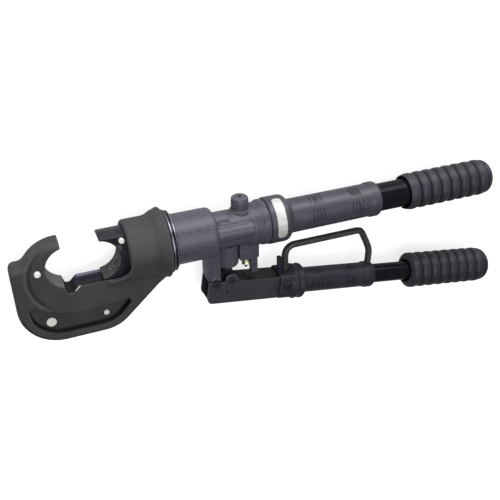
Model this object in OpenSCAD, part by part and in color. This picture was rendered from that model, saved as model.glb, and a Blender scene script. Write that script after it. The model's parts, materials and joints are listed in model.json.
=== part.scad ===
// Hand-pumped hydraulic crimping tool with a rotating C-head.
// Origin: the middle of the fixed die seat. X runs along the ram's axis towards the grips, Y points up in the
// plane of the tool, and Z points out of its near side, so that the tool lies on its flat side as it rests.

/* [Head] */
// Radius of both round die seats
seat_r = 23.5; // [22.5:0.25:24.5]
// Thickness of the jaws
jaw_t = 26.5; // [24:0.5:28]
// Clear opening between the jaws' lower lips with the ram drawn back
jaw_opening = 42.5; // [40:0.5:44]
// Radius of the ram, which is the die holder
ram_r = 27.6; // [27:0.2:28]
// Distance from the die seat's middle to the flat back of the head
head_back = 59.5; // [56:0.5:64]
// Distance from the ram's axis to the flat bottom of the head
head_drop = 92; // [88:0.5:95]
// Outer radius of the head's barrel
barrel_r = 33.2; // [32:0.2:34]
// Radius of the crest at the barrel's rear edge
crest_r = 39.6; // [37:0.5:41]
// Length of the head's barrel
barrel_len = 46; // [45:0.5:50]
// Depth of the crescent pocket in each side of the head
pocket_d = 8; // [5:0.5:9]
// Width of the rim left outside the crescent pocket
rim_w = 12; // [10:0.5:14]
// Radius of the groove that frames the fixed jaw's flat face
face_groove_r = 45; // [44:0.5:46]

/* [Plugs and die buttons] */
// Radius of the large plated plug in the head
large_plug_r = 5.4; // [4.5:0.1:6]
// Radius of the small plated plug in the head
small_plug_r = 3; // [2.5:0.1:4]
// Radius of the fixed jaw's die button
fixed_button_r = 3.4; // [3:0.1:4.2]
// Radius of the ram's die button
ram_button_r = 3.2; // [2.8:0.1:3.6]
// How far a die button stands out of its face
button_out = 3.2; // [2.8:0.1:4]

/* [Cylinder and pump] */
// Outer radius of the cylinder
cyl_r = 28.75; // [28.25:0.25:30]
// Bore radius of the cylinder
piston_r = 23; // [21:0.25:24]
// Length of the cylinder behind the head's ring
cyl_len = 48; // [44:1:56]
// Height of the filler plug's top over the axis
plug_top = 38; // [35:0.5:40]
// Radius of the filler boss
boss_r = 10; // [9:0.5:11]
// Radius of the upright pump barrel
pump_r = 9.7; // [9:0.1:10]
// How far the pump barrel reaches below the axis
pump_drop = 47; // [44:0.5:49]
// Radius of the pump's plunger
plunger_r = 5.5; // [4.5:0.1:6]
// Thickness of the valve block
block_t = 18; // [16:0.5:19]
// Radius of the brass release valve
valve_r = 3.6; // [3:0.1:4]

/* [Upper handle] */
// Radius of the reservoir collar
collar_r = 27.6; // [26:0.2:28.5]
// Length of the reservoir collar
collar_len = 30; // [28:1:34]
// Radius of the upper sleeve
sleeve_r = 20.2; // [19.4:0.2:21]
// Length of the upper sleeve
sleeve_len = 115; // [110:1:124]
// Radius of the reservoir tube
tube_r = 17.2; // [16:0.2:18]
// Wall of the reservoir tube
tube_wall = 2; // [1.5:0.1:2.5]
// Radius of a grip over its ribs
grip_r = 22.7; // [21.6:0.1:24]
// Length of the upper grip
grip_len = 122; // [114:1:128]
// Bare tube between the upper sleeve and the grip
bare_len = 41; // [36:1:48]

/* [Pump lever] */
// Angle between the lever and the ram's axis
lever_angle = 9; // [8:0.25:10]
// Height of the lever's steel channel
channel_h = 31; // [29:0.5:32]
// Width of the lever's steel channel
channel_w = 26; // [25:0.5:28]
// Sheet thickness of the channel
sheet = 3; // [2.5:0.1:3.2]
// Length of the channel from its open front end
channel_len = 91; // [88:1:95]
// Radius of the lever's pivot pin
pivot_r = 3.6; // [3.2:0.1:4.2]
// Radius of the link pin that works the plunger
link_r = 2.6; // [2.3:0.1:2.8]
// Radius of the lower sleeve
low_sleeve_r = 15.6; // [15:0.2:16.4]
// Length of the lower sleeve
low_sleeve_len = 100; // [98:1:108]
// Radius of the lower tube
low_tube_r = 12.2; // [11.5:0.1:13]
// Length of the lower grip
low_grip_len = 126; // [118:1:132]
// Radius of the guard bail's wire
bail_r = 4.2; // [3.6:0.1:4.5]
// Clear height of the bail's top run below the ram's axis
bail_drop = 40.2; // [38.5:0.2:42]

/* [Hidden] */
$fn = 48;

// Clearances. A shaft runs in its hole with fit, faces that pass each other keep run, and a cut passes over by eps.
fit = 0.05;
run = 0.3;
eps = 0.1;

// Places along the ram's axis, from the head's back to the end of the upper grip.
horn_top_x = -5;
horn_low_x = -7.5;
ram_low_x = horn_low_x + jaw_opening;
ram_seat_x = ram_low_x - 2.7;
stroke = ram_low_x - horn_top_x - 1;
bore_r = ram_r + 0.4;
barrel_x = 62.5;
barrel_end = barrel_x + barrel_len;
ring_x = barrel_end + run;
ring_end = ring_x + 7;
cyl_x = barrel_end - 19;
cyl_end = ring_end + cyl_len;
body_x = cyl_end;
plunger_x = body_x + 16;
block_x = body_x + 29;
valve_x = block_x + 10.5;
boss_x = body_x + 33.5;
neck_x = body_x + 43;
collar_x = neck_x + 20;
sleeve_x = collar_x + collar_len;
sleeve_end = sleeve_x + sleeve_len;
grip_x = sleeve_end + bare_len;
grip_end = grip_x + grip_len;
neck_r = 24.6;

// The lever's own frame: u runs along the lever from its pivot, v across it.
piv_x = plunger_x - 17.6;
piv_y = -64;
link_u = 17.6;
link_v = 4.4;
channel_front = -10;
channel_top = 3;
channel_end = channel_front + channel_len;
axis_v = channel_top - channel_h / 2 + 1.1;
low_ring_u = channel_end + 17;
low_sleeve_u = low_ring_u + 17;
low_sleeve_end = low_sleeve_u + low_sleeve_len;
low_grip_u = low_sleeve_end + 55;
low_grip_end = low_grip_u + low_grip_len;
lug_hw = channel_w / 2 - sheet - run;

// Colours of the real finishes.
charcoal = [0.22, 0.22, 0.23];
body_grey = [0.25, 0.25, 0.29];
blued = [0.42, 0.42, 0.47];
plated = [0.8, 0.8, 0.8];
gloss_black = [0.12, 0.12, 0.14];
rubber = [0.1, 0.1, 0.11];
brass = [0.72, 0.6, 0.32];

// Points of an arc about c, from angle a0 to a1 in n steps.
function arc(c, r, a0, a1, n) = [for (i = [0:n]) c + r * [cos(a0 + (a1 - a0) * i / n), sin(a0 + (a1 - a0) * i / n)]];

// A revolved shape about the ram's axis, whose profile is drawn as [distance along X, radius].
module turned(profile, fine = 96) {
    rotate([0, 90, 0]) rotate_extrude($fn = fine) polygon([for (p = profile) [p[1], p[0]]]);
}

module rod_x(x0, x1, r, fine = 64) {
    translate([x0, 0, 0]) rotate([0, 90, 0]) cylinder(h = x1 - x0, r = r, $fn = fine);
}

module rod_y(x, y0, y1, r, z = 0) {
    translate([x, y1, z]) rotate([90, 0, 0]) cylinder(h = y1 - y0, r = r);
}

module rod_z(x, y, z0, z1, r) {
    translate([x, y, z0]) cylinder(h = z1 - z0, r = r);
}

module lever_frame() {
    translate([piv_x, piv_y, 0]) rotate([0, 0, -lever_angle]) children();
}

// A solid lofted through rings of points that all have the same count.
module loft(rings) {
    n = len(rings[0]);
    m = len(rings);
    sides = [for (j = [0:m - 2], i = [0:n - 1]) let (k = (i + 1) % n)
        [j * n + i, (j + 1) * n + i, (j + 1) * n + k, j * n + k]];
    cap_low = [for (i = [0:n - 1]) i];
    cap_high = [for (i = [n - 1:-1:0]) (m - 1) * n + i];
    polyhedron([for (ring = rings) for (p = ring) p], concat([cap_low, cap_high], sides), 4);
}

// A round bar of radius r swept along a path that stays in the plane of the tool.
module bent_bar(path, r, sides = 14) {
    last = len(path) - 1;
    rings = [for (i = [0:last]) let (
        a = path[max(i - 1, 0)],
        b = path[min(i + 1, last)],
        t = (b - a) / norm(b - a),
        n = [-t[1], t[0]]
    ) [for (j = [0:sides - 1]) let (w = 360 * j / sides)
        [path[i][0] + r * cos(w) * n[0], path[i][1] + r * cos(w) * n[1], r * sin(w)]]];
    loft(rings);
}

// A coil spring along Z from z0 to z1, with ring r and wire w.
module coil(r, w, z0, z1, turns) {
    steps = turns * 8;
    pitch = (z1 - z0 - 2 * w) / steps;
    rings = [for (i = [0:steps]) let (a = 360 * i / 8, z = z0 + w + pitch * i)
        [for (j = [0:5]) [(r + w * cos(60 * j)) * cos(a), (r + w * cos(60 * j)) * sin(a), z + w * sin(60 * j)]]];
    loft(rings);
}

// The head's outer outline, drawn in by d. It closes across the throat, which is cut out of it.
function outline(d) = concat(
    arc([-7, -14], 43.7 - d, 80, 137, 10),
    [[-44 + d / 3, 10 - d], [-47.5, 8.2 - d]],
    arc([7 - head_back, 0.5], 7 - d / 2, 90, 180, 5),
    arc([46 - head_back, 46 - head_drop], 46 - d, 180, 270, 14),
    arc([29, 42 - head_drop], 42 - d, 270, 315, 7),
    [[barrel_end - 15, -48 + d * 1.4], [barrel_end - 4.5, -37.5], [barrel_end - 4.5, 0]]
);

// The throat goes right through: up past the horn's tip, and down into a relief before the lower lip.
module throat_shape() {
    polygon([
        [horn_top_x, 40], [horn_top_x, 20], [0, 0], [-8, -19], [-4, -32], [0.6, -32.2], [13.5, -20],
        [barrel_x + 40, -20], [barrel_x + 40, 40]
    ]);
    circle(r = seat_r, $fn = 96);
}

// The pocket keeps rim_w from the outer edge, and ends above at the edge of the jaw's round face.
module pocket_shape() {
    polygon(concat(
        arc([46 - head_back, 46 - head_drop], 46 - rim_w, 176, 270, 14),
        arc([29, 42 - head_drop], 42 - rim_w, 270, 315, 7),
        [[61, -60], [59.5, -54.5], [37, -55.8]],
        arc([8, 20], 78, 274, 231, 12)
    ));
}

// Half of the neck's section across the ram, as [Z, Y]: a fillet from the barrel down to the plate's side.
module neck_section() {
    side = jaw_t / 2 - 0.2;
    centre = [side + neck_fillet, -sqrt(pow(barrel_r - 0.2 + neck_fillet, 2) - pow(side + neck_fillet, 2))];
    start = atan2(-centre[1], -centre[0]);
    polygon(concat([[0, 0]], arc(centre, neck_fillet, start, 180, 8), [[0, centre[1]]]));
}

// A section in the plane across the ram, carried along from x0 to x1.
module along(x0, x1) {
    translate([x1, 0, 0]) rotate([0, -90, 0]) linear_extrude(x1 - x0) children();
}

neck_fillet = 14;
cheek_r = 22;

// A cheek on each side carries the barrel forward along the throat's edge, under a round corner.
module cheeks() {
    corner = [barrel_x + 0.6 - cheek_r, cheek_r - 25];
    for (side = [0, 1]) mirror([0, 0, side]) {
        along(barrel_x + 2, barrel_x + 36.4) neck_section();
        intersection() {
            union() {
                along(barrel_x - 31, barrel_x + 4) neck_section();
                rod_x(barrel_x - 31, barrel_x + 8, barrel_r - 0.2, 96);
            }
            translate([0, 0, 1]) linear_extrude(barrel_r) polygon(concat(
                [[barrel_x - 30, corner[1] - cheek_r], [barrel_x - 30, -46], [barrel_x + 6, -46]],
                [[barrel_x + 6, corner[1]]], arc(corner, cheek_r, 0, -90, 12)
            ));
            translate([0, 10, 0]) rotate([90, 0, 0]) linear_extrude(60) polygon([[barrel_x - 26, 0],
                [barrel_x - 26, jaw_t / 2 - 0.2], [barrel_x + 5, barrel_r + 6], [barrel_x + 5, 0]]);
        }
    }
}

module head_yoke() {
    half = jaw_t / 2;
    levels = [[-half - 1, 5], [-half, 4.5], [0.55 - half, 3], [2.3 - half, 1.1], [5.5 - half, 0], [half - 5.5, 0],
        [half - 2.3, 1.1], [half - 0.55, 3], [half, 4.5], [half + 1, 5]];
    color(charcoal) difference() {
        union() {
            difference() {
                // The rounded outline runs on past both faces, and a slab as thick as the jaw cuts them flat.
                intersection() {
                    loft([for (level = levels) [for (p = outline(level[1])) [p[0], p[1], level[0]]]]);
                    translate([-2 * head_back, -2 * head_drop, -half]) cube([6 * head_back, 3 * head_drop, jaw_t]);
                }
                translate([0, 0, -half - 1]) linear_extrude(jaw_t + 2) throat_shape();
                for (side = [0, 1]) mirror([0, 0, side]) {
                    translate([0, 0, half - pocket_d]) linear_extrude(pocket_d + 1) pocket_shape();
                    // Forged groove that frames the jaw's flat face.
                    translate([2.6, -10.6, half + 2.3]) rotate([0, 0, 116]) rotate_extrude(angle = 106, $fn = 96)
                        translate([face_groove_r, 0]) rotate(5) circle(r = 3.5, $fn = 32);
                }
            }
            turned(concat(
                [[barrel_x, 0], [barrel_x, bore_r + 1.5]],
                arc([barrel_x + 3.5, barrel_r - 3.5], 3.5, 180, 90, 4),
                arc([barrel_x + 23, barrel_r + 18], 18, 270, 306, 5),
                arc([barrel_end - 3.8, crest_r - 2.5], 2.5, 130, 10, 6),
                [[barrel_end, barrel_r + 2.6], [barrel_end, 0]]
            ));
            cheeks();
        }
        // The ram's bore runs on as the throat's trough. Behind it is the seat of the cylinder.
        rod_x(2, barrel_end + 1, bore_r, 96);
        rod_x(cyl_x - run, barrel_end + 2, cyl_r + fit, 96);
        rod_z(large_plug_at[0], large_plug_at[1], -half, half, large_plug_r);
        rod_z(small_plug_at[0], small_plug_at[1], -half, half, small_plug_r);
        rod_z(fixed_button_x, 0, half - button_bore, half + 1, fixed_button_r + fit);
    }
}

large_plug_at = [-26.5, 24.5 - head_drop];
small_plug_at = [33.5, 21 - head_drop];
fixed_button_x = -seat_r - 8.5;
button_bore = 12;
spring_room = 5.5;

module large_plug() {
    half = jaw_t / 2;
    web = half - pocket_d;
    color(plated) rod_z(large_plug_at[0], large_plug_at[1], -web - 1, web + 1, large_plug_r);
}

module small_plug() {
    half = jaw_t / 2;
    web = half - pocket_d;
    color(plated) rod_z(small_plug_at[0], small_plug_at[1], -web - 1, web + 1, small_plug_r);
}

// A die button: a stem in its bore, with a crowned head and a waist that lets the die's pin pass.
module button(r, face_z) {
    z0 = face_z - button_bore + spring_room + run;
    top = face_z + button_out;
    rotate_extrude() polygon([[0, z0], [r - 0.8, z0], [r, z0 + 0.8], [r, top - 0.8], [r - 0.8, top], [0, top]]);
}

module fixed_die_button() {
    color(plated) translate([fixed_button_x, 0, 0]) button(fixed_button_r, jaw_t / 2);
}

module fixed_button_spring() {
    z0 = jaw_t / 2 - button_bore;
    color(blued) translate([fixed_button_x, 0, 0]) coil(fixed_button_r - 1.1, 0.45, z0, z0 + spring_room, 4);
}

ring_wall = 6.65;

module swivel_ring() {
    color(plated) difference() {
        turned(concat(
            [[ring_x, cyl_r - 2], [ring_x, cyl_r + ring_wall + 0.2]],
            arc([ring_x + 1.4, cyl_r + ring_wall], 1.4, 150, 60, 3),
            [[ring_x + 4.6, cyl_r + ring_wall - 2.2], [ring_end - 0.4, cyl_r + 2.4], [ring_end, cyl_r + 1.6], [ring_end, cyl_r - 2]]
        ));
        rod_x(ring_x - eps, ring_end + eps, cyl_r + fit, 96);
    }
}

// The ram: flat on both sides where it holds the die, round in the barrel, with its piston behind.
module ram() {
    half = jaw_t / 2;
    color(blued) difference() {
        union() {
            intersection() {
                turned([[ram_low_x, 0], [ram_low_x, ram_r - 1.2], [ram_low_x + 1.2, ram_r], [ram_back, ram_r],
                    [ram_back, 0]]);
                union() {
                    translate([ram_low_x, -40, -half]) cube([flat_len, 80, jaw_t]);
                    rod_x(ram_low_x + flat_len, ram_back, ram_r + 1);
                }
            }
            rod_x(ram_back - eps, piston_end, piston_r);
        }
        rod_z(ram_seat_x, 0, -half - eps, half + eps, seat_r);
        rod_x(spring_hole_x, piston_end + eps, spring_hole_r);
        for (groove = [[seal_x, seal_w], [band_x, band_w]]) difference() {
            rod_x(groove[0], groove[0] + groove[1], piston_r + 1);
            rod_x(groove[0] - eps, groove[0] + groove[1] + eps, piston_r - groove_d);
        }
        rod_z(ram_button_at[0], ram_button_at[1], half - button_bore, half + eps, ram_button_r + fit);
    }
}

flat_len = 30;
ram_back = cyl_x - 5;
piston_end = cyl_x + stroke + 20;
spring_hole_x = ram_back - 8;
spring_hole_r = 10;
groove_d = 2.5;
seal_w = 4;
seal_x = piston_end - 9;
band_w = 3;
band_x = piston_end - 16;
ram_button_at = [barrel_x - ram_button_r - 1, ram_r - 7.8];

module ring_in_groove(x, w) {
    difference() {
        rod_x(x, x + w, piston_r);
        rod_x(x - eps, x + w + eps, piston_r - groove_d);
    }
}

module piston_seal() {
    color(rubber) ring_in_groove(seal_x, seal_w);
}

module wear_band() {
    color(brass) ring_in_groove(band_x, band_w);
}

module ram_die_button() {
    color(plated) translate([ram_button_at[0], ram_button_at[1], 0]) button(ram_button_r, jaw_t / 2);
}

module ram_button_spring() {
    z0 = jaw_t / 2 - button_bore;
    color(blued) translate([ram_button_at[0], ram_button_at[1], 0])
        coil(ram_button_r - 1, 0.45, z0, z0 + spring_room, 4);
}

// The spring that draws the ram back lies in the piston's hole, and hooks on the cylinder's closed end.
module ram_return_spring() {
    color(blued) rotate([0, 90, 0]) coil(spring_hole_r - 2.2, 1.1, spring_hole_x + run, cyl_end - cyl_floor, 14);
}

cyl_floor = 9;

module ram_cylinder() {
    color(body_grey) difference() {
        turned(concat(
            [[cyl_x, 0], [cyl_x, cyl_r - 1], [cyl_x + 1, cyl_r]],
            arc([cyl_end - 5, cyl_r - 5], 5, 90, 0, 6),
            [[cyl_end, 0]]
        ));
        rod_x(cyl_x - eps, cyl_end - cyl_floor, piston_r + fit, 96);
    }
}

// The pump body is one casting: pump barrel, filler boss, oil gallery, valve block, pivot lug and stop leg.
module pump_body() {
    block_end = block_x + 24;
    color(body_grey) difference() {
        union() {
            turned(concat(
                [[body_x, 0], [body_x, 20], [body_x + 5, 21.5], [neck_x - 6, 21.5], [neck_x, neck_r]],
                [[neck_x + 9, neck_r], [neck_x + 13, collar_r - 1], [collar_x - 1.5, collar_r - 1]],
                [[collar_x - 1.5, collar_r - 2], [collar_x, collar_r - 2], [collar_x, 0]]
            ));
            // Stop block behind the cylinder.
            translate([body_x, 0, 0]) rotate([0, 90, 0]) linear_extrude(15.5)
                polygon([[-13.5, 0], [-13.5, 19], [-9.5, 22.6], [6, 21.4], [9, 19], [9, 0]]);
            rod_y(boss_x, 0, plug_top - 5.5, boss_r);
            rod_y(boss_x, 0, 24, boss_r + 2);
            // Oil gallery along the near side, with its rounded front edge.
            for (side = [0, 1]) mirror([0, 0, side]) {
                translate([0, 3.6, 16.4]) rod_x(body_x, neck_x - 1, gallery_r);
                translate([body_x, 3.6 - gallery_r, 8]) cube([neck_x - body_x, 2 * gallery_r, 8]);
            }
            // Upright pump barrel with its rounded foot.
            translate([plunger_x, 0, 0]) rotate([90, 0, 0]) rotate_extrude() polygon(concat(
                [[0, 0], [pump_r, 0]],
                arc([pump_r - 3, pump_drop - 3], 3, 0, 90, 4),
                [[0, pump_drop]]
            ));
            // Valve block, bevelled at its rear upper corner.
            translate([0, 0, -block_t / 2]) linear_extrude(block_t)
                polygon([[block_x, -8], [block_end - 11, -8], [block_end, -20], [block_end, -41], [block_x, -41]]);
            rod_y(valve_x, -44, -40, valve_r + 2.2);
            // Leg that stops the lever.
            translate([block_end - 8, leg_end, -4]) cube([8, 40, 8]);
            lever_lug();
        }
        // Plunger bore, with its seal groove, and the valve's bore.
        rod_y(plunger_x, -pump_drop - eps, -8, plunger_r + fit);
        rod_y(plunger_x, -pump_drop + 5, -pump_drop + 9, plunger_r + seal_d);
        rod_y(valve_x, -45, -16, valve_r + fit);
        rod_y(boss_x, plug_top - 13, plug_top, 6);
        rod_x(tube_seat_x, collar_x + eps, tube_r);
        rod_x(tube_seat_x - 6, collar_x, 3);
    }
}

gallery_r = 9;
seal_d = 2;
tube_seat_x = collar_x - 18;
leg_end = piv_y - (block_x + 24 - piv_x) * tan(lever_angle) + channel_top + 6;

lug_step = 2.2;

// The lug is a plate under the cylinder, thicker at its round eye.
module lever_lug() {
    difference() {
        union() {
            translate([0, 0, lug_step - lug_hw]) linear_extrude(2 * (lug_hw - lug_step)) polygon([
                [piv_x - 10.5, -20], [piv_x - 10.5, -55], [piv_x - 7, piv_y], [piv_x + 6.9, piv_y],
                [piv_x + 6.9, -46], [plunger_x, -40], [plunger_x, -20]
            ]);
            rod_z(piv_x, piv_y, -lug_hw, lug_hw, 7);
        }
        rod_z(piv_x, piv_y, -lug_hw - eps, lug_hw + eps, pivot_r + fit);
        rod_x(body_x - 60, body_x, cyl_r + run, 96);
    }
}

module filler_plug() {
    color(body_grey) translate([boss_x, 0, 0]) rotate([-90, 0, 0]) rotate_extrude() polygon(concat(
        [[0, plug_top - 13], [6, plug_top - 13], [6, plug_top - 5.5], [boss_r - 0.6, plug_top - 5.5]],
        arc([boss_r - 3.6, plug_top - 3], 3, 0, 90, 4),
        [[2.6, plug_top], [2.2, plug_top - 2.5], [0, plug_top - 2.5]]
    ));
}

module release_valve() {
    color(brass) translate([valve_x, 0, 0]) rotate([90, 0, 0]) rotate_extrude() polygon([
        [0, 26], [valve_r, 26], [valve_r, 48.5], [valve_r + 1.6, 48.5], [valve_r + 1.6, 51], [valve_r - 1, 52.5],
        [0, 52.5]
    ]);
}

// The valve's spring sits on its stem, inside the block, with room above it for the stroke.
module valve_spring() {
    color(blued) translate([valve_x, 0, 0]) rotate([-90, 0, 0]) coil(valve_r - 0.9, 0.45, -26, -18.8, 4);
}

module valve_tip() {
    color(rubber) rod_y(valve_x, -55.5, -52.5, 1.7);
}

// Both round ends of the plunger's slot. The pin moves forward in it as the lever opens.
module slot_shape(r) {
    translate([-slot_back, -r]) square([slot_back + 1, 2 * r]);
    translate([-slot_back, 0]) circle(r = r);
    translate([1, 0]) circle(r = r);
}

slot_back = 3.8;
slot_r = link_r + 0.6;

// The plunger ends in a slotted eye, which the lever's link pin lifts.
module pump_plunger() {
    foot = piv_y - link_u * sin(lever_angle) + link_v * cos(lever_angle);
    color(blued) difference() {
        union() {
            rod_y(plunger_x, foot + 4, -22, plunger_r);
            translate([plunger_x, foot, -4]) linear_extrude(8) slot_shape(slot_r + 2.7);
        }
        translate([plunger_x, foot, -6]) linear_extrude(12) slot_shape(slot_r);
    }
}

module plunger_seal() {
    color(rubber) difference() {
        rod_y(plunger_x, -pump_drop + 5, -pump_drop + 9, plunger_r + seal_d);
        rod_y(plunger_x, -pump_drop, -pump_drop + 12, plunger_r + fit);
    }
}

module reservoir_collar() {
    color(charcoal) difference() {
        turned(concat(
            [[collar_x, 0], [collar_x, collar_r - 1.2], [collar_x + 1.2, collar_r]],
            arc([collar_x + 20, collar_r - 7], 7, 90, 16, 7),
            [[sleeve_x - 1, sleeve_r + 1.2], [sleeve_x, sleeve_r + 0.6], [sleeve_x, 0]]
        ));
        rod_x(collar_x - eps, sleeve_x + eps, tube_r, 96);
    }
}

// Slotted nut that draws the reservoir tube against the pump body.
module collar_nut() {
    color(plated) difference() {
        rod_x(tube_seat_x, tube_seat_x + 4, tube_r - tube_wall);
        rod_x(tube_seat_x - eps, tube_seat_x + 4 + eps, 8);
    }
}

// A thin strip of bare silver foil, wrapped part of the way round the collar.
module label_strip() {
    color([0.85, 0.85, 0.85]) rotate([label_turn, 0, 0]) rotate([0, 90, 0]) rotate_extrude(angle = 111, $fn = 96)
        translate([collar_r, collar_x + 6.3]) square([0.4, 11.4]);
}

label_turn = 95;

// A turned sleeve: plain barrel, two groups of fine grooves and a raised rim at its rear end.
module sleeve(x0, x1, r, bore, groups) {
    rotate([0, 90, 0]) difference() {
        rotate_extrude($fn = 96) polygon([[bore, x0], [r, x0], [r, x1 - 12.5], [r + 1.2, x1 - 10], [r + 1.2, x1 - 2],
            [r + 0.4, x1], [bore, x1]]);
        for (g = groups) for (i = [0:3]) translate([0, 0, g + i * 4.4]) intersection() {
            difference() {
                cylinder(h = 1.2, r = r + 3, $fn = 96);
                translate([0, 0, -eps]) cylinder(h = 1.2 + 2 * eps, r = r - 0.5, $fn = 96);
            }
            translate([0, 0, -2 * eps]) linear_extrude(1.2 + 4 * eps) for (k = [0:5]) rotate(48 + 60 * k)
                polygon([[0, 0], [2 * r, -0.74 * r], [2 * r, 0.74 * r]]);
        }
    }
}

module upper_sleeve() {
    color(gloss_black) sleeve(sleeve_x, sleeve_end, sleeve_r, tube_r, [sleeve_x + 24.4, sleeve_end - 39.6]);
}

module reservoir_tube() {
    color(gloss_black) difference() {
        rod_x(tube_seat_x, grip_end - 12, tube_r, 96);
        rod_x(tube_seat_x - eps, grip_end, tube_r - tube_wall, 96);
    }
}

module oil_bladder() {
    start = tube_seat_x + 12;
    end = grip_end - 40;
    r = tube_r - tube_wall - 1;
    color(rubber) difference() {
        turned(concat([[start, 0], [start, 7], [start + 6, 7]], arc([start + 16, r - 6], 6, 180, 90, 4),
            arc([end - r, 0], r, 90, 0, 8)));
        rod_x(start - eps, start + 40, 5);
    }
}

module bladder_clamp() {
    color(plated) difference() {
        rod_x(tube_seat_x + 4, tube_seat_x + 12, tube_r - tube_wall);
        rod_x(tube_seat_x + 4 - eps, tube_seat_x + 12 + eps, 5);
    }
}

module tube_end_cap() {
    color(gloss_black) turned([[grip_end - 24, 0], [grip_end - 24, tube_r - tube_wall], [grip_end - 12, tube_r - tube_wall],
        [grip_end - 12, tube_r], [grip_end - 8, tube_r], [grip_end - 8, 0]]);
}

// A moulded grip: eight soft ribs that swell and dip, a hollow front rim and a rounded end.
module grip(x0, x1, r, bore) {
    ribs = 8;
    rib_depth = 1.4;
    pitch = (x1 - x0 - 9) / ribs;
    rotate([0, 90, 0]) rotate_extrude($fn = 96) polygon(concat(
        [[bore + 2.4, x0], [r - 1.6, x0]],
        [for (i = [0:ribs - 1]) for (k = [0:4]) [r - rib_depth + rib_depth * sin(180 * k / 4), x0 + 1 + pitch * (i + k * 0.23)]],
        [[r - 0.4, x1 - 8]],
        arc([r - 8, x1 - 8], 8, 8, 90, 6),
        [[0, x1], [0, x1 - 7], [bore, x1 - 7], [bore, x0 + 7], [bore + 2.4, x0 + 7]]
    ));
}

module upper_grip() {
    color(rubber) grip(grip_x, grip_end, grip_r, tube_r);
}

// The lever's channel, bent from sheet, with an open front, ears for the two pins and a closed back behind them.
module lever_channel() {
    low = channel_top - channel_h;
    w = channel_w / 2;
    ear_u = 24;
    color(body_grey) lever_frame() difference() {
        union() {
            translate([channel_front, 0, 0]) rotate([90, 0, 90]) linear_extrude(channel_len) polygon(concat(
                arc([low + bend_r, bend_r - w], bend_r, 180, 270, 5), [[channel_top, -w], [channel_top, w]],
                arc([low + bend_r, w - bend_r], bend_r, 90, 180, 5)));
            for (side = [0, 1]) mirror([0, 0, side]) translate([0, 0, w - sheet]) linear_extrude(sheet) polygon([
                [8, -8], [link_u - 7.2, link_v + 4], [link_u - 4, link_v + 7.4], [link_u + 3, link_v + 7.6],
                [ear_u + 6, channel_top - 1], [ear_u + 6, -8]
            ]);
        }
        translate([channel_front - eps, low + sheet, sheet - w])
            cube([channel_len + 2 * eps, channel_h - 2 * sheet, channel_w - 2 * sheet]);
        // Open back ahead of the ears, and the striker's hole behind them.
        translate([channel_front - eps, low + sheet, sheet - w]) cube([ear_u + 12.5, channel_h + 20, channel_w - 2 * sheet]);
        translate([striker_u, 0, 0]) rotate([90, 0, 0]) cylinder(h = 2 * channel_top + 2, r = striker_r + fit, center = true);
        // Rounded lower front corner.
        translate([channel_front, low, -w - eps]) linear_extrude(channel_w + 2 * eps) difference() {
            translate([-eps, -eps]) square(front_r);
            translate([front_r, front_r]) circle(r = front_r);
        }
        rod_z(0, 0, -w - eps, w + eps, pivot_r);
        rod_z(link_u, link_v, -w - eps, w + eps, link_r);
        rod_z(14, axis_v, -w - eps, w + eps, 2);
    }
}

bend_r = 4.5;
front_r = 11;

module headed_pin(u, v, r, out) {
    w = channel_w / 2;
    lever_frame() translate([u, v, 0]) rotate_extrude() polygon([
        [0, -w - 1.2], [r, -w - 1.2], [r, w], [r + out, w], [r + out, w + 1], [r + out - 0.8, w + 1.8], [0, w + 1.8]
    ]);
}

module pivot_pin() {
    color(blued) headed_pin(0, 0, pivot_r, 0.9);
}

module link_pin() {
    color(plated) headed_pin(link_u, link_v, link_r, 0.8);
}

module roll_pin() {
    color(blued) lever_frame() rod_z(14, axis_v, -channel_w / 2 - 0.4, channel_w / 2 + 0.4, 2);
}

striker_u = 41;
striker_r = 3;

// Adjusting screw under the release valve, standing on the channel's floor.
module striker_screw() {
    low = channel_top - channel_h + sheet;
    color(plated) lever_frame() union() {
        translate([striker_u, low, 0]) rotate([-90, 0, 0]) rotate_extrude() polygon(concat(
            [[0, 0], [7, 0], [7, 5], [striker_r, 5], [striker_r, 28]], arc([0, 28], striker_r, 0, 90, 5)));
    }
}

// Moulded collar that joins the channel to the lower tube. Its tab stands ahead of the bail.
module lever_collar() {
    w = channel_w / 2;
    low = channel_top - channel_h;
    face = w + collar_wall;
    color(charcoal) lever_frame() difference() {
        union() {
            translate([channel_end, 0, 0]) rotate([0, -90, 0]) mirror([0, 0, 1]) linear_extrude(block_len)
                polygon(concat(
                    arc([6 - face, low + 7], 6, 180, 270, 4), arc([face - 6, low + 7], 6, 270, 360, 4),
                    arc([face - 6, channel_top - 3.5], 6, 0, 90, 4), arc([6 - face, channel_top - 3.5], 6, 90, 180, 4)
                ));
            translate([channel_end - 12, low + sheet, sheet - w])
                cube([13, channel_h - 2 * sheet, channel_w - 2 * sheet]);
            translate([0, axis_v, 0]) turned(concat(
                [[channel_end + 10, 0], [channel_end + 10, 16], [low_ring_u, 20]],
                arc([low_ring_u + 4.5, 17.8], 4, 150, 40, 4), arc([low_ring_u + 13, 17.8], 4, 140, 0, 5),
                [[low_ring_u + 17, 0]]));
            translate([channel_end + 1.4, channel_top - 2, -3]) rotate([0, 0, lever_angle]) cube([4.8, 23, 6]);
        }
        translate([0, axis_v, 0]) rod_x(tube_u, low_sleeve_u + 1, low_tube_r);
        translate([bail_front_u, bail_foot_v, 0]) rotate([-90, 0, 0]) cylinder(h = 20, r = bail_r + 0.1);
        for (side = [0, 1]) mirror([0, 0, side]) {
            rod_z(screw_u, screw_v, low_tube_r - 1, face + 4, screw_r);
            // Spot face for the screw's head.
            rod_z(screw_u, screw_v, face, face + 8, screw_head_r + 0.3);
        }
    }
}

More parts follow.
